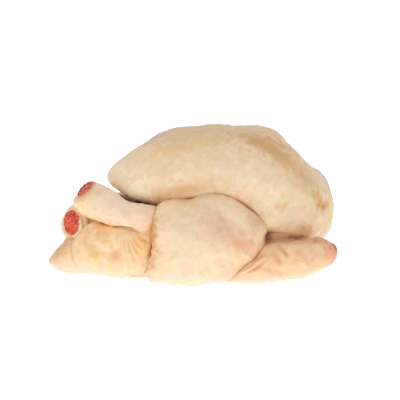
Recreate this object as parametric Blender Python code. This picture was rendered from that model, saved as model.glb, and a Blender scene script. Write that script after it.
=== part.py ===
"""A whole raw chicken, ready for the oven, lying on its back with its legs tucked in.

The bird lies along X with its neck end at +X, its tail at -X and its breast up. The side at -Y is
the near side, and the plane at height 0 is the table. One solid holds the skin and flesh of the
whole bird. The two shin bones show at the cut hocks, and each is a solid of its own in a channel
that runs up its drumstick.

Each mass of the bird is a ball carried along a path: the ball's rings follow the path, and each
ring is as wide and as tall as the mass is there. Boolean unions join the masses into one skin.
"""

import math

import bmesh
import bpy
import numpy as np
from mathutils import Vector

MM = 0.001

# Driving dimensions, in millimetres. The ends of the masses are measured along the bird.
BREAST_TIP_X = -78.0
NECK_END_X = 128.0
TAIL_TIP_X = -132.0
TAIL_TIP_Y = -10.0
CUFF_X = -32.0
KNEE_X = 63.5
LEG_Y = 58.0
WRIST_X = 126.5
WING_Y = 61.0
LOBE_FURROW = 5.0
NEAR_HOCK = (-93.9, -37.3, 81.0)
FAR_HOCK = (-109.0, -16.2, 44.8)
NEAR_KNUCKLE = 8.5
FAR_KNUCKLE = 9.5
SHAFT_RADIUS = 4.0
BONE_CLEARANCE = 0.3
CENTRE = Vector((-2.3, 0.0, 0.0))

SKIN_COLOUR = (0.84, 0.64, 0.43, 1.0)
BONE_COLOUR = (0.56, 0.12, 0.09, 1.0)

# The hocks are cut across by planes that face these ways.
NEAR_CUT = Vector((-0.62, -0.28, 0.73)).normalized()
FAR_CUT = Vector((-0.66, -0.74, 0.12)).normalized()
UP = Vector((0, 0, 1))


def clear_scene():
    """Removes whatever objects the file holds."""
    for thing in list(bpy.data.objects):
        bpy.data.objects.remove(thing)


def finish(name, colour, roughness):
    """A Principled material with one colour and one roughness."""
    made = bpy.data.materials.new(name)
    made.use_nodes = True
    shader = made.node_tree.nodes["Principled BSDF"]
    shader.inputs["Base Color"].default_value = colour
    shader.inputs["Roughness"].default_value = roughness
    shader.inputs["Metallic"].default_value = 0.0
    return made


def along(values, share):
    """The value at a share of the way along evenly spaced values, on a Catmull-Rom curve."""
    values = np.asarray(values, float)
    last = len(values) - 1
    place = min(max(share, 0.0), 1.0) * last
    first = min(int(place), last - 1)
    step = place - first
    start, end = values[first], values[first + 1]
    before = values[first - 1] if first > 0 else 2 * start - end
    after = values[first + 2] if first + 2 <= last else 2 * end - start
    return (
        (1 + 2 * step) * (1 - step) ** 2 * start
        + step * (1 - step) ** 2 * (end - before) / 2
        + step**2 * (3 - 2 * step) * end
        + step**2 * (step - 1) * (after - start) / 2
    )


def power(value, exponent):
    """The power of a value's size, with the value's sign."""
    return math.copysign(abs(value) ** exponent, value)


def muscle(name, path, width, height, blunt, square=2.0, top=UP, lean=0.0, rings=20, sides=24, groove=0.0):
    """A ball carried along a path, in millimetres.

    The ring at share s of the path is a superellipse with half width width(s), half height
    height(s) and power square. Towards the two ends it shrinks by the ball's own sine, to the power
    blunt(s), so that a small power makes a blunt end. The rings stand upright along top, and lean 1
    sets them square to the path. groove sinks a furrow along the top that fades along the path.
    """
    work = bmesh.new()
    bmesh.ops.create_uvsphere(work, u_segments=sides, v_segments=rings, radius=1.0)
    for vertex in work.verts:
        across, up, pole = vertex.co
        ring = math.hypot(across, up)
        turn = math.atan2(up, across)
        across = power(math.cos(turn), 2 / square)
        up = power(math.sin(turn), 2 / square)
        share = (1 + pole) / 2
        fullness = ring ** along(blunt, share) if ring > 1e-5 else 0.0
        ahead = Vector(along(path, min(share + 0.02, 1.0)))
        ahead -= Vector(along(path, max(share - 0.02, 0.0)))
        side = ahead.cross(top).normalized()
        square_up = side.cross(ahead).normalized()
        rise = square_up.lerp(top, 1 - lean).normalized()
        lift = up * along(height, share)
        lift -= groove * math.sqrt(1 - share) * math.exp(-((across / 0.18) ** 2)) * max(up, 0.0)
        point = Vector(along(path, share)) + side * across * along(width, share) * fullness
        vertex.co = (point + rise * lift * fullness - CENTRE) * MM
    bmesh.ops.reverse_faces(work, faces=work.faces)
    return placed(name, work)


def placed(name, work):
    """A new object in the scene with the shape that work holds."""
    mesh = bpy.data.meshes.new(name)
    work.to_mesh(mesh)
    work.free()
    made = bpy.data.objects.new(name, mesh)
    bpy.context.scene.collection.objects.link(made)
    return made


def on_side(path, side):
    """A path of the near side, or its mirror image for the far side."""
    return [(x, side * y, z) for x, y, z in path]


def breast():
    """The breast over the rib cage: two lobes with a furrow between them that fades to the keel."""
    lengths = np.linspace(BREAST_TIP_X, NECK_END_X, 9)
    heights = (86, 87.5, 89.5, 88.5, 83.5, 78, 71.5, 60, 54.5)
    path = [(x, 0, z) for x, z in zip(lengths, heights)]
    width = (48, 52, 57, 61, 63, 66, 68, 68, 66)
    height = (25, 32, 39, 44, 49, 56, 64, 63, 65)
    return muscle("breast", path, width, height, (0.92, 1), 2.15, rings=26, sides=42, groove=LOBE_FURROW)


def back():
    """The back and rump, which the bird lies on."""
    path = [(-88, 0, 31), (-40, 0, 36), (10, 0, 36.5), (60, 0, 38), (104, 0, 46)]
    return muscle("back", path, (40, 50, 54, 52, 46), (28, 37, 38.5, 36, 26), (0.8, 0.8), rings=16)


def leg(name, side):
    """The thigh and drumstick folded together in their skin, which ends in a blunt cuff."""
    lengths = np.linspace(CUFF_X, KNEE_X, 5)
    near = (-52, -56, -LEG_Y, -LEG_Y, -53)
    path = on_side(zip(lengths, near, (38.5, 37.5, 41.5, 41.5, 40.5)), side)
    return muscle(name, path, (22, 25, 26, 24.5, 23), (40, 41.5, 41, 38.5, 33),
                  (0.08, 0.35, 0.85, 0.85, 0.8), 2.2, Vector((0.11, 0, 1)), rings=22, sides=28)


def near_shank():
    """The near leg's shank, which leaves the cuff and rises to the cut hock."""
    path = [(-5, -54, 54), (-30, -52.5, 56.5), (-55, -49, 60), (-80, -41, 68.5), (-102, -30, 79)]
    return muscle("near_shank", path, (14, 13.5, 12, 14.5, 20), (16, 14.5, 11, 17.5, 21.5), (0.8, 0.5),
                  lean=1.0)


def far_shank():
    """The far leg's shank, which passes under the near one and comes out beside the tail."""
    path = [(-5, 54, 54), (-44, 44, 54), (-84, 10, 49), (-126, -28, 42)]
    return muscle("far_shank", path, (14, 13, 14, 18), (15, 14, 15, 16), (0.8, 0.5), lean=1.0)


def flap(name, side):
    """The belly skin and fat beside the tail, which holds the hocks in place."""
    path = on_side([(-8, -50, 24), (-42, -46, 26), (-78, -37, 29.5), (-104, -26, 29)], side)
    return muscle(name, path, (20, 20, 18, 12), (24, 25, 28, 23), (0.6, 0.5), 2.2,
                  Vector((0.3, 0, 1)), rings=14)


def tail():
    """The tail, which narrows to its tip."""
    path = [(-50, 0, 19), (-80, -3, 18), (-110, -8, 15), (TAIL_TIP_X, TAIL_TIP_Y, 8)]
    return muscle("tail", path, (34, 34, 28, 14), (20, 21, 18.5, 9), (0.8, 0.9), 2.4, rings=14)


def wing(name, side):
    """The forearm of the folded wing, from the elbow under the knee to the cut wrist."""
    lengths = np.linspace(10, WRIST_X, 5)
    near = (-60, -60, -WING_Y, -58, -50)
    path = on_side(zip(lengths, near, (14, 19, 20.5, 23.5, 28)), side)
    return muscle(name, path, (13, 13, 13.5, 13, 13), (13.5, 17.5, 18, 17.5, 17.5), (0.8, 0.45),
                  sides=20)


def upper_arm(name, side):
    """The upper arm, which runs from the shoulder back to the elbow behind the forearm."""
    path = on_side([(98, -36, 30), (72, -44, 26), (44, -51, 21), (14, -52, 18)], side)
    return muscle(name, path, (14, 14, 13, 12), (12, 14, 14, 13), (0.8, 0.8), rings=12, sides=16)


def neck_skin():
    """The neck skin, folded over the neck end and bulging on the far side."""
    path = [(94, 10, 57), (108, 12, 55), (128.5, 12, 53)]
    return muscle("neck_skin", path, (32, 34, 34), (31, 34, 35), (0.8, 0.55), rings=12, sides=20)


def shin_bone(name, path, knuckle, spare):
    """A shin bone along a path that ends at the cut hock, grown by spare millimetres all round."""
    path = [Vector(point) for point in path]
    beyond = (path[-1] - path[-2]).normalized() * 8
    path = [path[0] + (path[0] - path[1]).normalized() * spare, *path[1:], path[-1] + beyond]
    width = [SHAFT_RADIUS + spare] * (len(path) - 2) + [knuckle + spare] * 2
    return muscle(name, path, width, width, (0.5, 0.5), lean=1.0, rings=18, sides=16)


def block(name, centre, facing, size):
    """A cube of the given size whose near face passes through centre, square to facing."""
    work = bmesh.new()
    bmesh.ops.create_cube(work, size=size * MM)
    made = placed(name, work)
    made.rotation_euler = facing.to_track_quat("Z", "Y").to_euler()
    made.location = (Vector(centre) + facing * size / 2 - CENTRE) * MM
    return made


def hide(thing):
    """Keeps a helper out of the part."""
    thing.hide_render = True
    thing.display_type = "WIRE"


def combine(whole, operation, others):
    """Adds an exact Boolean of whole with each of the others, which become helpers."""
    for other in others:
        step = whole.modifiers.new(operation.lower() + " " + other.name, "BOOLEAN")
        step.operation = operation
        step.solver = "EXACT"
        step.object = other
        hide(other)


def main():
    clear_scene()
    skin = finish("raw skin", SKIN_COLOUR, 0.45)
    cut_bone = finish("cut bone", BONE_COLOUR, 0.4)

    chicken = breast()
    chicken.name = "chicken"
    chicken.data.materials.append(skin)
    shanks = (near_shank(), far_shank())
    cuts = (block("near_cut", NEAR_HOCK, NEAR_CUT, 60), block("far_cut", FAR_HOCK, FAR_CUT, 60))
    for shank, cut in zip(shanks, cuts):
        combine(shank, "DIFFERENCE", [cut])
    masses = [back(), tail(), neck_skin(), upper_arm("near_upper_arm", 1), upper_arm("far_upper_arm", -1)]
    masses += [wing("near_wing", 1), wing("far_wing", -1), leg("near_leg", 1), leg("far_leg", -1)]
    masses += [flap("near_flap", 1), flap("far_flap", -1), *shanks]
    combine(chicken, "UNION", masses)
    combine(chicken, "DIFFERENCE", [block("table", (0, 0, 0), -UP, 400)])

    near_path = [(5, -55, 53), (-28, -52.5, 56), (-54, -49, 60), (-78, -41.5, 68), NEAR_HOCK]
    far_path = [(5, 54, 54), (-44, 44, 54), (-84, 10, 49), FAR_HOCK]
    shins = (("near", near_path, NEAR_KNUCKLE), ("far", far_path, FAR_KNUCKLE))
    for (side, path, knuckle), cut in zip(shins, cuts):
        combine(chicken, "DIFFERENCE", [shin_bone(side + "_channel", path, knuckle, BONE_CLEARANCE)])
        bone = shin_bone(side + "_shank_bone", path, knuckle, 0.0)
        bone.data.materials.append(cut_bone)
        combine(bone, "DIFFERENCE", [cut])


main()
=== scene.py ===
# %% [markdown]
# # A whole raw chicken
# The bird lies on its back, breast up, with its neck end to the right and its tail to the left. Its
# thighs and drumsticks lie folded along its sides, the two shanks cross over the tail, and the skin
# of the belly holds them there. Everything here is skin over soft flesh, so the bird is made as a
# set of soft masses that press against each other. Where two of them meet, the skin dips into a
# crease; where one skin runs from one mass to the next, the crease is filled.
#
# The frame gives the bird's place and its length. All sizes below are millimetres of that bird.

import bpy
import numpy as np
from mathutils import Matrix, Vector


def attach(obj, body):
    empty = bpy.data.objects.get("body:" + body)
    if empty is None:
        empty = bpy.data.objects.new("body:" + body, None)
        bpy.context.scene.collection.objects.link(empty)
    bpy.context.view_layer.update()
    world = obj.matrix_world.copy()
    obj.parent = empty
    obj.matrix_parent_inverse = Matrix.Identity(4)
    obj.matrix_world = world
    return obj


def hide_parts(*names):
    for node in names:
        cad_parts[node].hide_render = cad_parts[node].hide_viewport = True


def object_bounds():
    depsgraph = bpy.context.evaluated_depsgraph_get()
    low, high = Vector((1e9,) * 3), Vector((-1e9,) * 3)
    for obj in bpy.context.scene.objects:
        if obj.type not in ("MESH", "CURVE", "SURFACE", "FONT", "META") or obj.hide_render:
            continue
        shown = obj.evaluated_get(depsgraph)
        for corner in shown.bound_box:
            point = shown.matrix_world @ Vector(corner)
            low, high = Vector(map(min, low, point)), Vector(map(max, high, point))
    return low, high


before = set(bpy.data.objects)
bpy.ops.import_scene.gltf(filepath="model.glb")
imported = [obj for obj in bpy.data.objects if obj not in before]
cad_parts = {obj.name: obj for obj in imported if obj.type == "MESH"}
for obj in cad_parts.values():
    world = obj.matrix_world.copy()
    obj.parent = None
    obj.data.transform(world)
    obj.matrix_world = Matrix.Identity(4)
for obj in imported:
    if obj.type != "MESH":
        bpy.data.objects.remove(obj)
low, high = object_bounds()

TAIL_TIP = -132.0
LENGTH = 260.5
MM = (high.x - low.x) / LENGTH


def placed(points):
    """The bird's millimetres to the frame's metres: the tail's tip is at the low end of the box."""
    return points * MM + np.array([low.x - TAIL_TIP * MM, 0.0, 0.0])


print(f"one millimetre of the bird is {MM * 1000:.3f} mm in the frame")

# %% [markdown]
# ## Curves and soft noise
# A chicken has no straight lines. Every path, width and height below is a short list of values with
# a smooth curve through them. Skin is never even either: it is a little lumpy at the scale of a
# thumb, wrinkled at the scale of a fingernail and mottled in colour at both. A sum of waves that run
# in random directions gives that, and unlike a random number for each vertex it is smooth.


# %% Curves and noise
def along(values, share):
    """The value at a share of the way along evenly spaced values, on a Catmull-Rom curve.

    Between the values a and b, with the neighbours before and after them, the curve is a cubic in
    the step from a to b that starts with the slope (b - before) / 2 and ends with (after - a) / 2.
    """
    values = np.asarray(values, float)
    last = len(values) - 1
    place = np.clip(share, 0, 1) * last
    first = np.minimum(place.astype(int), last - 1)
    step = place - first
    if values.ndim > 1:
        step = step[..., None]
    padded = np.concatenate([2 * values[:1] - values[1:2], values, 2 * values[-1:] - values[-2:-1]])
    before, start, end, after = (padded[first + k] for k in range(4))
    return (
        (1 + 2 * step) * (1 - step) ** 2 * start
        + step * (1 - step) ** 2 * (end - before) / 2
        + step**2 * (3 - 2 * step) * end
        + step**2 * (step - 1) * (after - start) / 2
    )


def unit(vectors):
    """The vectors divided by their lengths."""
    return vectors / np.maximum(np.linalg.norm(vectors, axis=-1, keepdims=True), 1e-12)


def dot(a, b):
    """The sum of the products of the coordinates."""
    return (a * b).sum(-1)


def ease(low_edge, high_edge, value):
    """0 below the low edge, 1 above the high edge and 3t^2 - 2t^3 in between."""
    t = np.clip((value - low_edge) / (high_edge - low_edge), 0, 1)
    return t * t * (3 - 2 * t)


def bump(distance, width):
    """exp(-(distance / width)^2): 1 at no distance and 0.37 at the width."""
    return np.exp(-((distance / width) ** 2))


def mottle(points, size, seed):
    """Smooth noise with a spread of 1: the sum of cosines of the points along random directions.

    The waves are between 0.7 and 1.4 times size long.
    """
    draw = np.random.default_rng(seed)
    ways = unit(draw.normal(size=(32, 3))) * (2 * np.pi / size) / draw.uniform(0.7, 1.4, (32, 1))
    starts = draw.uniform(0, 2 * np.pi, 32)
    return np.cos(points @ ways.T + starts).sum(-1) / 4


# %% [markdown]
# ## One soft mass
# A thigh, a shank or half a breast is a bag of flesh in its skin. A ball carried along a path has
# that shape: the ball's rings follow the path, each ring is as wide and as tall as the mass is there,
# and the rings shrink to a point at both ends. How fast they shrink decides whether an end is pointed
# like the tail or blunt like the cuff of a leg. A ring is a superellipse, which is a little squarer
# than an ellipse, because flesh that lies on a table spreads.


# %% The masses
def mass(path, width, height, blunt, square=2.0, top=(0, 0, 1), lean=0.0, groove=0.0):
    """What describes a mass: its path, half widths, half heights, bluntness and the rings' stance."""
    return {
        "path": np.array(path, float),
        "width": width,
        "height": height,
        "blunt": blunt,
        "square": square,
        "top": np.array(top, float),
        "lean": lean,
        "groove": groove,
    }


def station(body, share):
    """The centre of the ring at a share of the path, the ring's sideways direction and its rise."""
    ahead = along(body["path"], np.minimum(share + 0.02, 1)) - along(body["path"], np.maximum(share - 0.02, 0))
    side = unit(np.cross(ahead, body["top"]))
    square_up = unit(np.cross(side, ahead))
    rise = unit(square_up * body["lean"] + body["top"] * (1 - body["lean"]))
    return along(body["path"], share), side, rise


def skin_point(body, angle, turn):
    """The point of a mass at an angle from its first pole and a turn round its path.

    The share of the path is sin^2(angle / 2). The ring there is swell = sin(angle)^blunt of its full
    size. Its point is centre + side * width * cos^(2/square) + rise * height * sin^(2/square), and a
    furrow of depth groove runs along the top and fades with the square root of what is left of the path.
    """
    share = np.sin(angle / 2) ** 2
    swell = np.sin(angle) ** along(body["blunt"], share)
    across = np.sign(np.cos(turn)) * np.abs(np.cos(turn)) ** (2 / body["square"])
    up = np.sign(np.sin(turn)) * np.abs(np.sin(turn)) ** (2 / body["square"])
    lift = up * along(body["height"], share)
    lift = lift - body["groove"] * np.sqrt(1 - share) * bump(across, 0.18) * np.maximum(up, 0)
    centre, side, rise = station(body, share)
    return centre + side * (across * along(body["width"], share) * swell)[..., None] + rise * (lift * swell)[..., None]


def near_and_far(name, path, *rest, **options):
    """The mass of the near side and its mirror image on the far side."""
    mirrored = [(x, -y, z) for x, y, z in path]
    return {f"near_{name}": mass(path, *rest, **options), f"far_{name}": mass(mirrored, *rest, **options)}


breast_x = np.linspace(-78, 128, 9)
breast_z = (86, 87.5, 89.5, 88.5, 83.5, 78, 71.5, 60, 54.5)
leg_path = zip(np.linspace(-32, 63.5, 5), (-52, -56, -58, -58, -53), (38.5, 37.5, 41.5, 41.5, 40.5))
wing_path = zip(np.linspace(10, 126.5, 5), (-60, -60, -61, -58, -50), (14, 19, 20.5, 23.5, 28))
BIRD = {
    "breast": mass([(x, 0, z) for x, z in zip(breast_x, breast_z)], (48, 52, 57, 61, 63, 66, 68, 68, 66),
                   (25, 32, 39, 44, 49, 56, 64, 63, 65), (0.92, 1), 2.15, groove=5.0),
    "back": mass([(-88, 0, 31), (-40, 0, 36), (10, 0, 36.5), (60, 0, 38), (104, 0, 46)],
                 (40, 50, 54, 52, 46), (28, 37, 38.5, 36, 26), (0.8, 0.8)),
    "near_shank": mass([(-5, -54, 54), (-30, -52.5, 56.5), (-55, -49, 60), (-80, -41, 68.5), (-102, -30, 79)],
                       (14, 13.5, 12, 14.5, 20), (16, 14.5, 11, 17.5, 21.5), (0.8, 0.5), lean=1.0),
    "far_shank": mass([(-5, 54, 54), (-44, 44, 54), (-84, 10, 49), (-126, -28, 42)],
                      (14, 13, 14, 16.5), (15, 14, 15, 15.5), (0.8, 0.5), lean=1.0),
    "tail": mass([(-50, 0, 19), (-80, -3, 18), (-110, -8, 15), (-132, -10, 8)],
                 (34, 34, 28, 14), (20, 21, 18.5, 9), (0.8, 0.9), 2.4),
    "neck_skin": mass([(94, 10, 57), (108, 12, 55), (128.5, 12, 53)], (32, 34, 34), (31, 34, 35), (0.8, 0.55)),
    **near_and_far("leg", list(leg_path), (22, 25, 26, 24.5, 23), (40, 41.5, 41, 38.5, 33),
                   (0.08, 0.35, 0.85, 0.85, 0.8), 2.2, (0.11, 0, 1)),
    **near_and_far("flap", [(-8, -50, 24), (-42, -46, 26), (-78, -37, 29.5), (-104, -26, 29)],
                   (20, 20, 18, 12), (24, 25, 28, 23), (0.6, 0.5), 2.2, (0.3, 0, 1)),
    **near_and_far("wing", list(wing_path), (13, 13, 13.5, 13, 13), (13.5, 17.5, 18, 17.5, 17.5), (0.8, 0.45)),
    **near_and_far("upper_arm", [(98, -36, 30), (72, -44, 26), (44, -51, 21), (14, -52, 18)],
                   (14, 14, 13, 12), (12, 14, 14, 13), (0.8, 0.8)),
}
print(len(BIRD), "soft masses")

# %% [markdown]
# ## Even rings
# The mesh of a mass is a grid of rings and of points round each ring. Rings at even steps of the
# angle would crowd at the poles and leave a blunt end bare, so the rings are set at even steps of
# the distance over the skin instead. The two poles close the grid with a fan of triangles each.


# %% The grid
def ring_angles(body, rings):
    """The angles of the rings that lie the same distance apart over the skin.

    The distance is added up along four lines from pole to pole, over angles that crowd at the poles.
    """
    t = np.linspace(0.02, 0.98, 4000)
    angle = np.pi * t**8 / (t**8 + (1 - t) ** 8)
    lines = [skin_point(body, angle, turn * np.ones_like(angle)) for turn in np.arange(4) * np.pi / 2]
    steps = sum(np.linalg.norm(np.diff(line, axis=0), axis=1) for line in lines)
    travelled = np.concatenate([[0], np.cumsum(steps)])
    return np.interp(np.linspace(0, travelled[-1], rings + 2)[1:-1], travelled, angle)


def grid_of(body, rings, sides):
    """The grid of a mass as an array of rings by sides by 3, and its two poles."""
    angle, turn = np.meshgrid(ring_angles(body, rings), np.arange(sides) * 2 * np.pi / sides, indexing="ij")
    return skin_point(body, angle, turn), along(body["path"], np.array([0.0, 1.0]))


def outward(grid):
    """The direction out of the skin at each point of the grid, from its neighbours on both sides."""
    round_ring = np.roll(grid, -1, axis=1) - np.roll(grid, 1, axis=1)
    away = unit(np.cross(np.gradient(grid, axis=0), round_ring))
    middle = grid.mean(axis=1, keepdims=True)
    return away * np.sign(dot(away, grid - middle).mean())


def faces_of(rings, sides):
    """The faces of a grid closed by two poles, which are its last two vertices."""
    ring, side = np.meshgrid(np.arange(rings - 1), np.arange(sides), indexing="ij")
    after = (side + 1) % sides
    quads = np.stack([ring * sides + side, ring * sides + after, (ring + 1) * sides + after,
                      (ring + 1) * sides + side], -1).reshape(-1, 4)
    side = np.arange(sides)
    after = (side + 1) % sides
    end = (rings - 1) * sides
    first = np.stack([np.full(sides, rings * sides), after, side], -1)
    last = np.stack([np.full(sides, rings * sides + 1), end + side, end + after], -1)
    return quads.tolist() + first.tolist() + last.tolist()


# %% [markdown]
# ## How deep a point lies in another mass
# Where two masses press together the skin is painted darker and more orange, as painted crease shade,
# and it bridges over where they are one piece. Both need the distance from a point to the neighbour's
# skin. The mass has a formula, so nothing is searched: a few Newton steps find the ring whose plane
# holds the point, and the ring's own equation says how far out of it or how deep in it the point is.


# %% Distance to a mass
TRIES = np.linspace(0.04, 0.96, 13)


def nearest_try(body, points):
    """Which of a few shares of the path is nearest to each point, and the distance to it."""
    away = [np.linalg.norm(points - centre, axis=1) for centre in along(body["path"], TRIES)]
    return TRIES[np.argmin(away, axis=0)], np.min(away, axis=0)


def gap_to(body, points):
    """The distance from points to the skin of a mass, below 0 inside it.

    At the share where (point - centre) is square to the ring's axis, the ring's equation gives
    ratio = (|across|^n + |up|^n)^(1/n) / swell, and the point is reach * (1 - 1 / ratio) outside.
    """
    share = nearest_try(body, points)[0]
    for _ in range(4):
        centre, side, rise = station(body, share)
        axis = np.cross(rise, side)
        pace = dot(along(body["path"], np.minimum(share + 0.01, 1)) - along(body["path"], np.maximum(share - 0.01, 0)), axis)
        share = np.clip(share + 0.02 * dot(points - centre, axis) / pace, 0.002, 0.998)
    centre, side, rise = station(body, share)
    beyond = np.abs(dot(points - centre, np.cross(rise, side)))
    across = np.abs(dot(points - centre, side)) / along(body["width"], share)
    up = np.abs(dot(points - centre, rise)) / along(body["height"], share)
    swell = (2 * np.sqrt(share * (1 - share))) ** along(body["blunt"], share)
    ratio = np.maximum((across ** body["square"] + up ** body["square"]) ** (1 / body["square"]) / swell, 1e-6)
    reach = np.linalg.norm(points - centre, axis=-1)
    out = np.maximum(reach, 1.0) * (1 - 1 / ratio)
    return np.where(beyond > 1, np.hypot(np.maximum(out, 0), beyond), out)


FAR_OFF = 60.0


def gaps_from(name, points):
    """The gap from the points of one mass to each other mass of the bird, FAR_OFF where it is wide."""
    gaps = {}
    for other, body in BIRD.items():
        if other == name:
            continue
        spacing = np.linalg.norm(np.diff(along(body["path"], TRIES), axis=0), axis=1).max()
        reach = np.hypot(max(*body["width"], *body["height"]) + 14, spacing)
        close = nearest_try(body, points)[1] < reach
        gap = np.full(len(points), FAR_OFF)
        if close.any():
            gap[close] = gap_to(body, points[close])
        gaps[other] = gap
    return gaps


# %% [markdown]
# ## Skin that runs on
# The shank leaves the leg's skin without a seam, the belly skin runs on to the tail, and the neck
# skin to the breast. There the two surfaces are raised towards each other, so that a soft hollow is
# left in place of the crease. A step of h = (k - |gap|)^2 / 4k along the skin, within k of the
# crossing, makes both surfaces meet in one smooth fillet.


# %% Fillets
FILLETS = {
    ("near_leg", "breast"): 4.0,
    ("far_leg", "breast"): 4.0,
    ("near_leg", "near_wing"): 4.0,
    ("far_leg", "far_wing"): 4.0,
    ("near_shank", "near_flap"): 11.0,
    ("far_shank", "far_flap"): 8.0,
    ("near_flap", "tail"): 9.0,
    ("far_flap", "tail"): 9.0,
    ("neck_skin", "breast"): 9.0,
    ("back", "tail"): 10.0,
    ("back", "near_wing"): 8.0,
    ("back", "far_wing"): 8.0,
    ("near_wing", "near_upper_arm"): 8.0,
    ("far_wing", "far_upper_arm"): 8.0,
    ("near_upper_arm", "breast"): 6.0,
    ("far_upper_arm", "breast"): 6.0,
}
FOLDED = 4.0
SHANK_SEAM_X = -50.0


def fillet_width(name, other, points):
    """How wide the fillet between two masses is at each point, 0 where they only touch."""
    width = FILLETS.get((name, other), FILLETS.get((other, name), 0.0))
    if {name, other} == {"near_shank", "near_flap"}:
        return width * ease(SHANK_SEAM_X, SHANK_SEAM_X + 9, points[:, 0])
    return np.full(len(points), width)


# %% [markdown]
# ## Folds, lips and stains
# What makes the skin look like skin is where it folds. A fold is a line over the bird: a groove with
# a soft shoulder on each side, or a ridge where the skin is doubled. Its colour is deeper, partly from
# fat and blood that gather there and partly as painted shade in the groove. The lines are placed on the
# near side. The far side has the same ones, turned by the noise, because the bird is the same on both
# sides but never its exact mirror image.


# %% Folds
def fold(line, width, depth, tone=None, strength=0.0, both=True):
    """A line over the skin: depth is how deep the groove is, or below 0 how high the ridge is."""
    return {
        "line": np.array(line, float),
        "width": width,
        "depth": depth,
        "tone": tone,
        "strength": strength,
        "both": both,
    }


def distance_to(line, points, steps=40):
    """The distance from points to a smooth curve, and the share along it of the nearest place.

    The curve is cut into short straight runs. Along each, the nearest place is where the run's
    direction is square to the point, held within the run.
    """
    marks = np.linspace(0, 1, steps + 1)
    curve = along(line, marks)
    best = np.full(len(points), 1e9)
    where = np.zeros(len(points))
    for start, end, mark in zip(curve[:-1], curve[1:], marks):
        run = end - start
        step = np.clip((points - start) @ run / (run @ run), 0, 1)
        gap = np.linalg.norm(points - start - step[:, None] * run, axis=1)
        nearer = gap < best
        best = np.where(nearer, gap, best)
        where = np.where(nearer, mark + step / steps, where)
    return best, where


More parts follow.
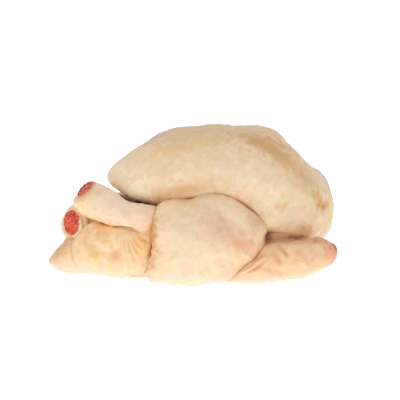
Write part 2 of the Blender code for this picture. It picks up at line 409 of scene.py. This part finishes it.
CREASE_SHADE = (184, 106, 54)
DEEP_SHADE = (116, 50, 26)
ORANGE = (222, 142, 74)
RUST = (196, 128, 70)
BUTTER = (240, 208, 128)
OLIVE = (196, 168, 88)
ROSE = (222, 158, 138)
BLOOD = (176, 60, 48)
PALE = (246, 230, 206)
FOLDS = [
    # Below the near shank, where it lies on the belly skin: fat along it, and painted shade at the dark end of the
    # slit.
    fold([(-98, -43, 63), (-86, -45, 57), (-74, -47.5, 53), (-60, -54, 53)], 3.2, 0.0, (238, 184, 104), 0.7, False),
    fold([(-87, -46, 56), (-82, -46, 53.5), (-77, -46, 51.5), (-71, -49.5, 50.5), (-63, -52, 50.5)], 1.6, 0.0,
         (222, 128, 40), 0.8, False),
    fold([(-70, -50, 51), (-62, -55, 51.5), (-54, -58, 51), (-47, -60, 48.5)], 1.3, 1.2, DEEP_SHADE, 0.75, False),
    # The pleats of the belly skin that fan out from the shank to the cuff.
    fold([(-50, -60, 47), (-43, -62, 42), (-36, -62, 38)], 1.1, 0.7, ORANGE, 0.4),
    fold([(-52, -60, 45), (-46, -63, 37), (-38, -63, 30)], 1.1, 0.7, ORANGE, 0.45),
    fold([(-54, -61, 44), (-49, -63.5, 34), (-42, -64.5, 24)], 1.0, 0.7, ORANGE, 0.4),
    fold([(-56, -61, 43), (-53, -63, 32), (-47, -64, 19)], 1.0, 0.6, ORANGE, 0.35),
    fold([(-58, -60, 41), (-57, -62, 28), (-53, -62, 14)], 1.1, 0.6, ORANGE, 0.3),
    fold([(-61, -59, 40), (-62, -61, 26), (-60, -61, 14)], 1.3, 0.4, ORANGE, 0.2),
    # The rolled left edge of the belly skin.
    fold([(-103, -26, 33), (-105, -31, 26), (-105, -34, 18), (-103, -34, 10)], 2.2, 0.9, RUST, 0.4),
    # The fold low down at the cuff, with painted shade in its groove.
    fold([(-57, -57, 7.5), (-49, -58, 7.2), (-41, -59, 8)], 1.1, 1.6, DEEP_SHADE, 0.8),
    fold([(-57, -55, 4), (-49, -56, 3.6), (-41, -57, 4)], 1.3, -1.0, PALE, 0.3),
    # Doubled skin on the wing along the edge of the leg.
    fold([(69, -65, 36), (66, -68, 32), (62, -71.5, 28)], 1.4, -1.7, PALE, 0.2),
    fold([(65, -70, 29), (60, -73, 26.5), (53, -73.5, 22)], 1.4, -1.6, PALE, 0.2),
    fold([(56, -73.5, 22.5), (49, -73.5, 17.5), (42, -72.5, 13)], 1.4, -1.5, PALE, 0.2),
    fold([(71, -64, 34.5), (67, -69, 28.5), (60, -74, 22)], 1.3, 1.4, ORANGE, 0.7),
    fold([(62, -73, 23), (55, -74, 18.5), (46, -73, 13)], 1.3, 1.2, ORANGE, 0.6),
    # The creases of the forearm.
    fold([(74, -64, 37), (79, -69, 33), (83.5, -72, 28)], 1.8, 1.6, RUST, 0.55),
    fold([(70, -69, 31), (74, -72, 27), (77, -73.5, 22)], 2.0, 1.0, ORANGE, 0.4),
    fold([(88, -67, 33), (95, -69, 29), (100, -69, 23)], 2.6, 0.8, ORANGE, 0.3),
    fold([(60, -74, 20), (72, -74, 16), (88, -72, 13)], 2.4, 0.7, ORANGE, 0.25),
    # The rim of the near half of the breast, with the furrow's shade behind it.
    fold([(-48, -13, 110), (-40, -13.5, 115), (-30, -13.5, 120), (-22, -12, 123.5), (-12, -10, 126)], 1.3, -0.5,
         PALE, 0.4, False),
    fold([(-46, -8, 111), (-39, -8, 115.5), (-30, -8, 120.5), (-22, -7, 124), (-12, -6, 126.5)], 2.4, 0.5,
         (190, 156, 138), 0.4, False),
    # The raw edge of the skin at the wrist.
    fold([(112, -46, 45), (119, -50, 43), (123.5, -54, 38), (126, -56, 32), (126, -57, 25)], 1.9, 0.3,
         (178, 52, 42), 0.8),
    fold([(114, -58, 40), (119, -60, 36), (121, -61, 31)], 1.2, 0.5, (206, 104, 84), 0.5),
    # A crooked wrinkle in the orange patch at the neck end of the breast.
    fold([(111, -37, 62), (114, -33, 65.5), (117, -29, 64), (121, -22, 68)], 2.4, 0.6, (204, 130, 66), 0.4, False),
    # The shank's skin where it was pulled back from the hock.
    fold([(-99, -46, 71), (-91, -49, 66), (-83, -50.5, 60), (-74, -52, 55)], 2.0, 0.7, BUTTER, 0.5, False),
    fold([(-37, -60, 69), (-41, -61, 61), (-46, -60, 54)], 1.2, 0.6, ROSE, 0.35, False),
]


# %% [markdown]
# Stains have no line. They are soft patches on the skin: yellow fat, orange flecks left by the
# plucking, pink where the muscle shows through, and the painted shadow of the two deep gaps. A few are
# painted light and shade instead: the tan top and the turned-away side of the breast, pale patches
# under its tip, and the bright far shank. Each is an ellipsoid of colour, and the noise breaks its edge.


# %% Stains
def stain(centre, spread, tone, strength, tilt=0.0, both=True):
    """A patch of colour round a centre, tilted in the upright plane along the bird."""
    return {
        "centre": np.array(centre, float),
        "spread": np.array(spread, float),
        "tone": tone,
        "strength": strength,
        "tilt": np.radians(tilt),
        "both": both,
    }


STAINS = [
    # The side of the breast that turns away at the top left, painted in shade, and the neck skin's edge.
    stain((-30, 15, 119), (24, 13, 14), (206, 182, 174), 0.85, 0, False),
    stain((119, 2, 82), (11, 17, 15), (236, 210, 196), 0.8, 0, False),
    # The breast: tan on top, partly its own tone and partly painted shade of the less lit top, a yellow
    # band of fat, rust at the shoulder and paler patches low on its side.
    stain((10, -20, 128), (85, 26, 12), (220, 186, 146), 0.75),
    stain((-8, -38, 118), (36, 9, 4.5), (232, 196, 128), 0.7, 14),
    stain((62, -36, 121), (22, 12, 6.5), (205, 152, 96), 0.8, -24),
    stain((80, -40, 110), (20, 14, 6), (205, 156, 102), 0.65, -45),
    stain((100, -36, 92), (20, 16, 12), (214, 176, 130), 0.7, -50),
    stain((38, -60, 98), (26, 14, 10), (240, 224, 196), 0.6, -10),
    stain((70, -60, 76), (16, 12, 9), (240, 222, 192), 0.5, -30),
    # Painted light: pale patches that lift the shade under the breast's tip and at its end.
    stain((-45, -34, 96), (18, 14, 9), (242, 216, 182), 0.5),
    stain((-50, -34, 78), (26, 16, 9), (255, 246, 222), 0.95),
    stain((-66, -22, 92), (16, 18, 12), (252, 232, 202), 0.6),
    stain((-8, -56, 84), (26, 12, 5), (212, 166, 114), 0.6, 13),
    stain((111, -33, 75), (4.5, 8, 4), (214, 174, 96), 0.75, -30),
    stain((115, -32, 68), (6, 9, 4), (214, 158, 92), 0.6, -40),
    stain((119, -27, 62), (4, 8, 5), (204, 136, 74), 0.7, -50),
    stain((107, -36, 58), (8, 7, 3), (224, 184, 128), 0.5, -20),
    stain((113, -34, 52), (7, 9, 6), (240, 224, 190), 0.6),
    stain((78, -58, 70), (5, 6, 3), (220, 168, 104), 0.5),
    stain((101, -43, 46), (6, 7, 6), (226, 176, 118), 0.55),
    stain((84, -52, 56), (16, 10, 7), (222, 192, 162), 0.5),
    # The leg: muscle seen through the skin, with yellow fat round it.
    stain((24, -81, 56), (25, 14, 13), (216, 172, 148), 0.75, -36),
    stain((43, -78, 42), (12, 12, 6), (224, 158, 116), 0.65, -30),
    stain((40, -76, 62), (16, 10, 3.5), (244, 226, 186), 0.7, -38),
    stain((8, -82, 38), (22, 10, 6), (242, 222, 184), 0.5, -20),
    stain((55, -70, 58), (8, 9, 11), (208, 170, 138), 0.6, -50),
    stain((0, -81, 56), (16, 12, 14), (226, 202, 170), 0.75),
    stain((-23, -62, 72), (10, 10, 7), (250, 228, 196), 0.5),
    stain((-12, -66, 72), (16, 12, 6), (236, 208, 166), 0.6),
    stain((-22, -70, 30), (9, 8, 12), (244, 214, 164), 0.4),
    # The belly skin.
    stain((-86, -52, 27), (9, 8, 6), (222, 186, 112), 0.75),
    stain((-67, -60, 26), (5, 6, 5), (222, 150, 110), 0.6),
    stain((-79, -50, 44), (9, 8, 5), (232, 180, 108), 0.6),
    stain((-43, -63, 37), (6, 8, 12), (250, 202, 124), 0.6),
    stain((-60, -60, 40), (12, 6, 6), (240, 204, 164), 0.4),
    stain((-95, -42, 40), (8, 9, 6), (234, 184, 116), 0.5),
    # The leg's cuff.
    stain((-33, -66, 46), (3.5, 9, 13), (206, 124, 56), 0.85),
    stain((-34, -64, 25), (3.5, 9, 11), (214, 138, 72), 0.75),
    # The tail.
    stain((-116, -20, 24), (10, 12, 7), (222, 168, 108), 0.6, 40),
    stain((-129, -12, 10), (4, 8, 6), (210, 146, 112), 0.7),
    stain((-120, -14, 20), (9, 12, 3.5), (208, 160, 128), 0.55, 40),
    # The shanks.
    stain((-81, -48, 82), (6, 6, 4), (216, 170, 164), 0.6, 0, False),
    stain((-70, -52, 74), (10, 8, 6), (234, 206, 188), 0.5, 20, False),
    stain((-95, -46, 68), (10, 9, 6), (238, 212, 162), 0.7, -35, False),
    stain((-46, -60, 63), (10, 8, 8), (242, 216, 192), 0.5, 0, False),
    # Painted light: the far shank by its hock is painted bright yellow, partly its translucent skin's tone and partly
    # to lift the shade of the near shank over it.
    stain((-99, -18, 44), (10, 13, 14), (255, 224, 158), 0.95, 0, False),
    # The wing: orange near the leg, rose at the wrist.
    stain((70, -70, 32), (12, 9, 7), (240, 188, 136), 0.5, -30),
    stain((52, -73, 16), (13, 9, 5), (244, 206, 160), 0.55, 30),
    stain((104, -64, 32), (13, 9, 9), (224, 188, 162), 0.55),
    stain((123, -56, 31), (6, 14, 11), (228, 150, 132), 0.75),
    stain((112, -54, 43), (10, 9, 5), (208, 118, 92), 0.75),
]
# The gaps that reach deep between the masses: nothing but shadowed, bloody flesh shows in them.
HOLLOWS = [
    stain((-58, -4, 62), (22, 20, 6.5), (104, 30, 18), 1.0, 0, False),
    stain((66, -55, 42.5), (5, 9, 4.5), (120, 48, 26), 0.65),
    stain((79, -54, 41.5), (12, 9, 3.0), (240, 190, 152), 0.6, -2),
    stain((98, -50, 38.5), (14, 10, 1.6), (140, 62, 40), 0.6, -3),
]


# %% [markdown]
# Some skin also lies a little higher or lower than its mass: the lobe at the wrist of the wing, the
# side of the breast that turns away, and the wedge above the wing that the flesh leaves open.


# %% Swellings
def swelling(kinds, centre, spread, height, both=True):
    """A patch of some kinds of mass that stands out by height at its centre, or lies in it below 0."""
    return {**stain(centre, spread, PALE, 1.0, 0.0, both), "height": height, "kinds": kinds}


SWELLINGS = [
    swelling(("wing",), (109, -48, 46), (11, 14, 8), 3.2),
    swelling(("wing",), (128, -48, 45), (9, 18, 9), -7.0),
    swelling(("breast",), (-50, -34, 74), (26, 14, 8), 1.3),
    swelling(("breast",), (-27, 24, 118), (26, 17, 14), 2.4, False),
    swelling(("breast", "upper_arm"), (72, -56, 42.5), (14, 12, 2.8), -3.0),
    swelling(("breast", "upper_arm"), (92, -53, 40), (16, 12, 2.2), -2.0),
    swelling(("leg",), (57, -68, 29), (11, 12, 9), 2.6),
    swelling(("flap", "shank"), (-48, -60, 44), (8, 10, 8), 2.2),
    swelling(("shank",), (-98, -20, 44), (7, 9, 8), 2.5, False),
]


# %% [markdown]
# ## Relief
# The relief is a distance along the outward direction: lumps, the folds, the fillets, and fine
# vertical stretch lines on the side of the breast, where the skin is pulled tight over the leg.


# %% Relief
def mirrored(points, item):
    """The points as the near side's lines and stains see them."""
    if not item["both"]:
        return points
    turned = points * np.array([1.0, -1.0, 1.0])
    shifted = turned + 1.6 * np.stack([mottle(points, 34, seed) for seed in (71, 72, 73)], -1)
    return np.where(points[:, 1:2] > 0, shifted, points)


def fold_marks(points):
    """For each fold that passes close to the points: the fold, and how near each point is to it."""
    flipped = mirrored(points, {"both": True})
    for item in FOLDS:
        seen = flipped if item["both"] else points
        reach = 3 * item["width"]
        close = (seen > item["line"].min(0) - reach).all(1) & (seen < item["line"].max(0) + reach).all(1)
        if not close.any():
            continue
        gap, share = distance_to(item["line"], seen[close])
        fade = np.clip(4 * np.minimum(share, 1 - share), 0, 1) ** 0.7
        yield item, close, gap / item["width"], fade


def relief(name, points, gaps):
    """How far the skin stands out of the plain mass, in millimetres."""
    out = 0.55 * mottle(points, 30, 11) + 0.22 * mottle(points, 11, 12) + 0.1 * mottle(points, 5, 13)
    for item, close, gap, fade in fold_marks(points):
        groove = bump(gap, 1.0) - 0.35 * bump(gap - 2, 0.9)
        out[close] -= item["depth"] * groove * fade
    for other, gap in gaps.items():
        width = fillet_width(name, other, points)
        out += np.maximum(width - np.abs(gap), 0) ** 2 / np.maximum(4 * width, 1e-6)
    flipped = mirrored(points, {"both": True})
    for item in SWELLINGS:
        if kind_of(name) not in item["kinds"]:
            continue
        out += item["height"] * patch_weight(item, flipped if item["both"] else points, 1.0)
    if kind_of(name) == "leg":
        out += 0.5 * mottle(points, 6, 14) * ease(-24, -31, points[:, 0])
    if name == "far_shank":
        hock, facing = CUTS[name]
        out += 2.6 * bump((points - hock) @ facing + 6.0, 3.2)
    if name == "breast":
        stretch = bump(points[:, 0] - 8, 17) * bump(points[:, 2] - 92, 14) * ease(-38, -52, points[:, 1])
        out += 0.22 * stretch * np.sin(2 * np.pi * (points[:, 0] + 0.5 * mottle(points, 16, 21)) / 3.1)
    return out


# %% [markdown]
# ## Colour
# Raw chicken skin is cream where light passes through fat, tan where it is dry and stretched, and
# orange to rust in the creases. The tone starts from what the mass is, takes on its neighbour's tone
# near a crossing, and then the mottling, the stains, the folds and the closeness of the neighbours
# are laid over it. The closeness of the neighbours is painted crease shade, and the skin low down is
# painted paler, as painted light from the floor. Colours are written as screen values and turned to
# linear light at the end.


# %% Colour
TONES = {
    "breast": (236, 212, 176),
    "back": (238, 212, 174),
    "leg": (240, 217, 184),
    "shank": (241, 216, 188),
    "flap": (248, 217, 172),
    "tail": (242, 204, 156),
    "wing": (242, 204, 160),
    "upper_arm": (214, 160, 130),
    "neck_skin": (226, 198, 164),
}
MOTTLED = {"flap": 1.2, "wing": 1.2, "tail": 1.2}
FRECKLED = {"leg": 0.16, "shank": 0.08, "breast": 0.26}


def kind_of(name):
    """The name of a mass without its side."""
    return name.removeprefix("near_").removeprefix("far_")


def blend(colour, tone, weight):
    """The colour moved towards a tone by a weight from 0 to 1 at each point."""
    weight = np.clip(weight, 0, 1)[:, None]
    return colour * (1 - weight) + np.array(tone, float) * weight


def patch_weight(item, seen, ragged):
    """strength * exp(-q * ragged), where q is the ellipsoid's equation and ragged breaks its edge."""
    away = seen - item["centre"]
    cos, sin = np.cos(item["tilt"]), np.sin(item["tilt"])
    turned = np.stack([cos * away[:, 0] + sin * away[:, 2], away[:, 1], cos * away[:, 2] - sin * away[:, 0]], -1)
    return item["strength"] * np.exp(-((turned / item["spread"]) ** 2).sum(-1) * ragged)


def skin_colour(name, points, gaps):
    """The screen colour of the skin of a mass at its points."""
    colour = np.tile(np.array(TONES[kind_of(name)], float), (len(points), 1))
    for other, gap in gaps.items():
        joined = fillet_width(name, other, points) > FOLDED
        colour = blend(colour, TONES[kind_of(other)], 0.5 * joined * np.exp(-np.abs(gap) / 9))
    strength = MOTTLED.get(kind_of(name), 1.0)
    colour = blend(colour, (228, 184, 132), strength * 0.17 * ease(0.1, 2.0, mottle(points, 15, 41)))
    colour = blend(colour, (240, 204, 182), 0.35 * ease(0.3, 2.0, mottle(points, 20, 42)))
    colour = blend(colour, (247, 232, 208), 0.3 * ease(0.4, 1.9, mottle(points, 11, 43)))
    colour = blend(colour, (226, 176, 110), FRECKLED.get(kind_of(name), 0.35) * ease(1.0, 2.2, mottle(points, 5.5, 44)))
    flipped = mirrored(points, {"both": True})
    ragged = np.maximum(1 + 0.3 * mottle(points, 9, 31) + 0.14 * mottle(points, 4, 32), 0.3)
    for item in STAINS:
        colour = blend(colour, item["tone"], patch_weight(item, flipped if item["both"] else points, ragged))
    for item, close, gap, fade in fold_marks(points):
        if item["tone"] is not None:
            colour[close] = blend(colour[close], item["tone"], item["strength"] * bump(gap, 1.0) * fade)
    # Painted crease shade: darker and more orange the nearer the neighbour's skin, less where a fillet fills the crease
    # and on the far shank.
    for other, gap in gaps.items():
        open_crease = np.exp(-np.maximum(fillet_width(name, other, points) - FOLDED, 0))
        outside = np.maximum(gap, 0)
        open_crease = open_crease * (0.15 if name == "far_shank" else 1.0)
        colour = blend(colour, ORANGE, 0.3 * open_crease * np.exp(-outside / 4.5))
        colour = blend(colour, CREASE_SHADE, 0.45 * open_crease * bump(outside, 1.3))
        colour = blend(colour, DEEP_SHADE, 0.35 * open_crease * bump(outside, 0.5))
    for item in HOLLOWS:
        colour = blend(colour, item["tone"], 1.5 * patch_weight(item, flipped if item["both"] else points, 1.0))
    # Painted light: the skin is painted paler towards the bottom, as if lit from the floor below.
    colour = blend(colour, (242, 223, 206), 0.72 * ease(22, 3, points[:, 2]))
    warmth = 0.006 * mottle(points, 8.0, 46)
    grain = 0.006 * mottle(points, 3.4, 45)
    return colour * (1 + grain[:, None] + warmth[:, None] * np.array([0.0, -1.0, -2.6]))


def linear(colour):
    """Screen values from 0 to 255 to linear light: c / 12.92 when dark, else ((c + 0.055) / 1.055)^2.4."""
    c = np.clip(np.asarray(colour, float) / 255, 0, 1)
    return np.where(c < 0.04045, c / 12.92, ((c + 0.055) / 1.055) ** 2.4)


# %% [markdown]
# ## The skin's material
# Skin lets light in and scatters it, more red than blue, which softens every shadow on it. Its colour
# comes from the vertices. Fine noise breaks the colour between them, and a bump of pores and hair-fine
# wrinkles gives the moist surface its broken sheen. The goose pimples are strongest on the breast.


# %% Materials
def attribute_node(tree, name):
    node = tree.nodes.new("ShaderNodeAttribute")
    node.attribute_name = name
    return node


def noise_node(tree, place, scale, detail=3.0):
    node = tree.nodes.new("ShaderNodeTexNoise")
    node.inputs["Scale"].default_value = scale
    node.inputs["Detail"].default_value = detail
    tree.links.new(place, node.inputs["Vector"])
    return node.outputs["Fac"]


def math_node(tree, operation, first, second):
    node = tree.nodes.new("ShaderNodeMath")
    node.operation = operation
    for socket, value in zip(node.inputs, (first, second)):
        if isinstance(value, (int, float)):
            socket.default_value = value
        else:
            tree.links.new(value, socket)
    return node.outputs[0]


def flesh_material(name, roughness, scatter, pores):
    """A Principled material whose colour is the attribute tint, with scattering, grain and bump."""
    made = bpy.data.materials.new(name)
    made.use_nodes = True
    tree = made.node_tree
    shader = tree.nodes["Principled BSDF"]
    place = tree.nodes.new("ShaderNodeTexCoord").outputs["Object"]
    tint = attribute_node(tree, "tint").outputs["Color"]
    grain = noise_node(tree, place, 420)
    lighter = math_node(tree, "MULTIPLY_ADD", grain, 0.08)
    lighter.node.inputs[2].default_value = 0.96
    mix = tree.nodes.new("ShaderNodeVectorMath")
    mix.operation = "SCALE"
    tree.links.new(tint, mix.inputs[0])
    tree.links.new(lighter, mix.inputs["Scale"])
    tree.links.new(mix.outputs[0], shader.inputs["Base Color"])
    shader.inputs["Roughness"].default_value = roughness
    shader.inputs["Subsurface Weight"].default_value = scatter
    shader.inputs["Subsurface Radius"].default_value = (1.0, 0.42, 0.22)
    shader.inputs["Subsurface Scale"].default_value = 0.006
    cells = tree.nodes.new("ShaderNodeTexVoronoi")
    cells.inputs["Scale"].default_value = 430
    tree.links.new(place, cells.inputs["Vector"])
    pimples = math_node(tree, "SUBTRACT", 0.6, cells.outputs["Distance"])
    pimples = math_node(tree, "MULTIPLY", pimples, attribute_node(tree, "pores").outputs["Fac"])
    pimples = math_node(tree, "MULTIPLY", pimples, pores)
    wrinkles = math_node(tree, "MULTIPLY", noise_node(tree, place, 260, 4.0), 0.5)
    bump_node = tree.nodes.new("ShaderNodeBump")
    bump_node.inputs["Strength"].default_value = 0.2
    bump_node.inputs["Distance"].default_value = 0.0008
    tree.links.new(math_node(tree, "ADD", pimples, wrinkles), bump_node.inputs["Height"])
    tree.links.new(bump_node.outputs["Normal"], shader.inputs["Normal"])
    return made


skin = flesh_material("raw skin", 0.46, 0.35, 0.8)
meat = flesh_material("cut flesh", 0.34, 0.3, 0.0)


# %% [markdown]
# ## Building the masses
# The cut hocks are flat: what lies beyond the cut is pressed back on to it, with a soft edge where
# the skin was cut through. Whatever would reach below the table spreads on it.


# %% Meshes
CUTS = {
    "near_shank": (np.array([-93.9, -37.3, 81.0]), unit(np.array([-0.62, -0.28, 0.73]))),
    "far_shank": (np.array([-109.0, -16.2, 44.8]), unit(np.array([-0.66, -0.74, 0.12]))),
}
DENSITY = {
    "breast": (300, 320),
    "back": (150, 160),
    "near_leg": (230, 230),
    "far_leg": (210, 210),
    "near_shank": (170, 130),
    "far_shank": (160, 120),
    "near_flap": (180, 160),
    "far_flap": (140, 130),
    "tail": (150, 150),
    "near_wing": (200, 130),
    "far_wing": (170, 110),
    "neck_skin": (110, 150),
    "near_upper_arm": (80, 60),
    "far_upper_arm": (70, 50),
}
QUICK_SHARE = 1.0
EDGE = 2.2
PULLED_BACK = {"near_shank": 0.4, "far_shank": 0.5}
CUFF_SLANT = 3.0


def pressed(excess, edge):
    """Nothing above 0 gets through: -edge * ln(1 + exp(-excess / edge)), soft within the edge."""
    return -edge * np.logaddexp(0, -excess / edge)


def mesh_object(name, points, faces, colour, pores, material):
    """An object with the points, faces, colours and pore strengths, smooth all over."""
    mesh = bpy.data.meshes.new(name)
    mesh.from_pydata(placed(points), [], faces)
    mesh.polygons.foreach_set("use_smooth", np.ones(len(mesh.polygons), bool))
    tint = mesh.attributes.new("tint", "FLOAT_COLOR", "POINT")
    tint.data.foreach_set("color", np.column_stack([linear(colour), np.ones(len(points))]).astype(np.float32).ravel())
    goose = mesh.attributes.new("pores", "FLOAT", "POINT")
    goose.data.foreach_set("value", pores.astype(np.float32))
    mesh.materials.append(material)
    mesh.update()
    made = bpy.data.objects.new(name, mesh)
    bpy.context.scene.collection.objects.link(made)
    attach(made, "root")
    return made


def dressed(name, body):
    """Builds one mass of the bird with its relief and colour."""
    rings, sides = (int(count * QUICK_SHARE) for count in DENSITY[name])
    grid, poles = grid_of(body, rings, sides)
    away = outward(grid).reshape(-1, 3)
    path_ends = unit(along(body["path"], np.array([0.0, 1.0])) - along(body["path"], np.array([0.02, 0.98])))
    points = np.concatenate([grid.reshape(-1, 3), poles])
    away = np.concatenate([away, path_ends])
    gaps = gaps_from(name, points)
    shown = points + away * relief(name, points, gaps)[:, None]
    if kind_of(name) == "leg":
        shown[:, 0] -= CUFF_SLANT * ease(38, 8, points[:, 2]) * ease(-8, -30, points[:, 0])
    colour = skin_colour(name, points, gaps)
    if name in CUTS:
        hock, facing = CUTS[name]
        excess = (shown - hock) @ facing + PULLED_BACK[name]
        shown += facing * (pressed(excess, EDGE) - excess)[:, None]
        colour = blend(colour, (240, 214, 168), 0.7 * ease(-7, -1, excess))
        colour = blend(colour, (232, 188, 146), 0.45 * ease(-1.5, 1, excess))
    shown[:, 2] = -pressed(-shown[:, 2], 0.25) - 0.17
    shown[:, 2] = np.maximum(shown[:, 2], 0)
    pores = np.clip(0.35 + 0.3 * mottle(points, 22, 51) + (0.5 if name == "breast" else 0), 0, 1)
    made = mesh_object(name, shown, faces_of(rings, sides), colour, pores, skin)
    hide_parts("chicken")
    return made


for name, body in BIRD.items():
    built = dressed(name, body)
    print(f"{name}: {len(built.data.vertices)} vertices")

# %% [markdown]
# ## The cut hocks
# The feet were cut off through the hock joint, so each shank ends in a joint face: the spongy end of
# the shin bone, red with marrow, in a pale ring of gristle. The face is a low cushion over a disc,
# r = share of its radius, and its grains are small lumps of noise that are colour and height at once.


# %% Hock faces
def hock_face(name, bone, centre, facing, half_sizes, marrow, tones):
    """A cut joint face: a disc of rings round its middle, closed below by a flat second disc.

    At radius r the cushion is 0.9 * (1 - r^4) - 1.6 * r^12 mm high, and grains add up to half a
    millimetre. The marrow fills a circle round its own middle (across, over) with its own radius.
    """
    rings, sides = 60, 120
    across = unit(np.cross((0.0, 0.0, 1.0), facing))
    over = np.cross(facing, across)
    radius, turn = np.meshgrid(np.arange(1, rings + 1) / rings, np.arange(sides) * 2 * np.pi / sides, indexing="ij")
    wobble = 1 + 0.05 * np.cos(2 * turn + 0.7) + 0.04 * np.cos(3 * turn + 2) + 0.025 * np.cos(5 * turn)
    u = np.append((radius * np.cos(turn) * wobble).ravel(), 0.0)
    w = np.append((radius * np.sin(turn) * wobble).ravel(), 0.0)
    r = np.append(radius.ravel(), 0.0)
    flat = centre + across * (half_sizes[0] * u)[:, None] + over * (half_sizes[1] * w)[:, None]
    grains = mottle(flat, 2.6, 61)
    coarse = mottle(flat, 6.0, 62)
    inside = 1 - ease(0.86, 1.0, np.hypot(u - marrow[0], w - marrow[1]) / marrow[2] + 0.04 * coarse)
    height = 0.9 * (1 - r**4) - 1.6 * r**12 + (0.26 * grains + 0.3 * coarse) * inside
    colour = np.tile(np.array(tones["flesh"], float), (len(r), 1))
    colour = blend(colour, tones["dark"], 0.9 * ease(-0.1, 1.1, coarse + 0.4 * grains))
    colour = blend(colour, tones["bright"], 0.8 * ease(0.2, 1.2, -grains))
    colour = blend(colour, tones["fleck"], 0.6 * ease(1.0, 1.8, mottle(flat, 2.6, 63)))
    colour = blend(colour, tones["rim"], 1 - inside)
    colour = blend(colour, tones["edge"], ease(0.9, 1.0, r))
    shell = flat + facing * height[:, None]
    under = flat[(rings - 1) * sides:-1] - facing * 3.5
    points = np.concatenate([shell[:-1], under, shell[-1:], [centre - facing * 3.5]])
    # The rings run from the middle outwards and then once round the underside.
    colour = np.concatenate([colour[:-1], colour[(rings - 1) * sides:-1], colour[-1:], [tones["dark"]]])
    made = mesh_object(name, points, faces_of(rings + 1, sides), colour, np.zeros(len(points)), meat)
    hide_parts(bone)
    return made


near_centre, near_facing = CUTS["near_shank"]
far_centre, far_facing = CUTS["far_shank"]
near_tones = {"flesh": (208, 92, 66), "dark": (136, 40, 32), "bright": (236, 142, 108), "fleck": (240, 204, 176),
              "rim": (226, 168, 132), "edge": (222, 184, 140)}
far_tones = {"flesh": (222, 68, 40), "dark": (176, 36, 24), "bright": (240, 116, 74), "fleck": (244, 196, 158),
             "rim": (248, 222, 186), "edge": (250, 222, 172)}
hock_face("near_hock_face", "near_shank_bone", near_centre, near_facing,
          (10.4, 10.8), (0.0, 0.0, 0.93), near_tones)
hock_face("far_hock_face", "far_shank_bone", far_centre, far_facing,
          (12.1, 13.6), (-0.06, 0.04, 0.96), far_tones)

# %% [markdown]
# ## Floor, light and camera
# The bird lies on a plain white floor in the soft light of a white tent: the light comes from the
# front and from all round, so shadows are faint, and the floor throws light up under the bird. The
# top of the breast gets the least.


# %% Floor, light and camera
def floor():
    mesh = bpy.data.meshes.new("floor")
    reach = 40.0
    mesh.from_pydata([(-reach, -reach, 0), (reach, -reach, 0), (reach, reach, 0), (-reach, reach, 0)], [], [(0, 1, 2, 3)])
    made = bpy.data.objects.new("floor", mesh)
    bpy.context.scene.collection.objects.link(made)
    white = bpy.data.materials.new("white floor")
    white.use_nodes = True
    shader = white.node_tree.nodes["Principled BSDF"]
    shader.inputs["Base Color"].default_value = (0.9, 0.9, 0.9, 1)
    shader.inputs["Roughness"].default_value = 0.9
    shader.inputs["Specular IOR Level"].default_value = 0.0
    shader.inputs["Emission Color"].default_value = (1, 1, 1, 1)
    shader.inputs["Emission Strength"].default_value = 0.55
    mesh.materials.append(white)


def softbox(name, place, aim, size, power):
    """A square area light that faces its aim."""
    light = bpy.data.lights.new(name, "AREA")
    light.size = size
    light.energy = power
    made = bpy.data.objects.new(name, light)
    made.location = place
    made.rotation_mode = "QUATERNION"
    made.rotation_quaternion = (aim - made.location).to_track_quat("-Z", "Y")
    bpy.context.scene.collection.objects.link(made)


floor()
middle = (low + high) / 2
softbox("front", (-0.42, -1.28, 0.33), middle, 1.4, 3.4)
softbox("top", (0.1, 0.2, 1.5), middle, 1.2, 2.5)

world = bpy.data.worlds.new("white tent")
world.use_nodes = True
sky = world.node_tree.nodes["Background"]
sky.inputs["Color"].default_value = (1.0, 0.99, 0.98, 1)
sky.inputs["Strength"].default_value = 0.68
bpy.context.scene.world = world
bpy.context.scene.view_settings.view_transform = "Standard"

from mathutils import Vector

ELEVATION = np.radians(12)
DISTANCE = 0.971
camera = bpy.data.objects.new("camera", bpy.data.cameras.new("camera"))
camera.data.lens = 95
camera.data.sensor_width = 36
target = Vector((0.0097, 0.0, 0.0632))
back_off = Vector((0, -np.cos(ELEVATION), np.sin(ELEVATION)))
camera.location = target + back_off * DISTANCE
camera.rotation_mode = "QUATERNION"
camera.rotation_quaternion = (-back_off).to_track_quat("-Z", "Y")
bpy.context.scene.collection.objects.link(camera)
bpy.context.scene.camera = camera
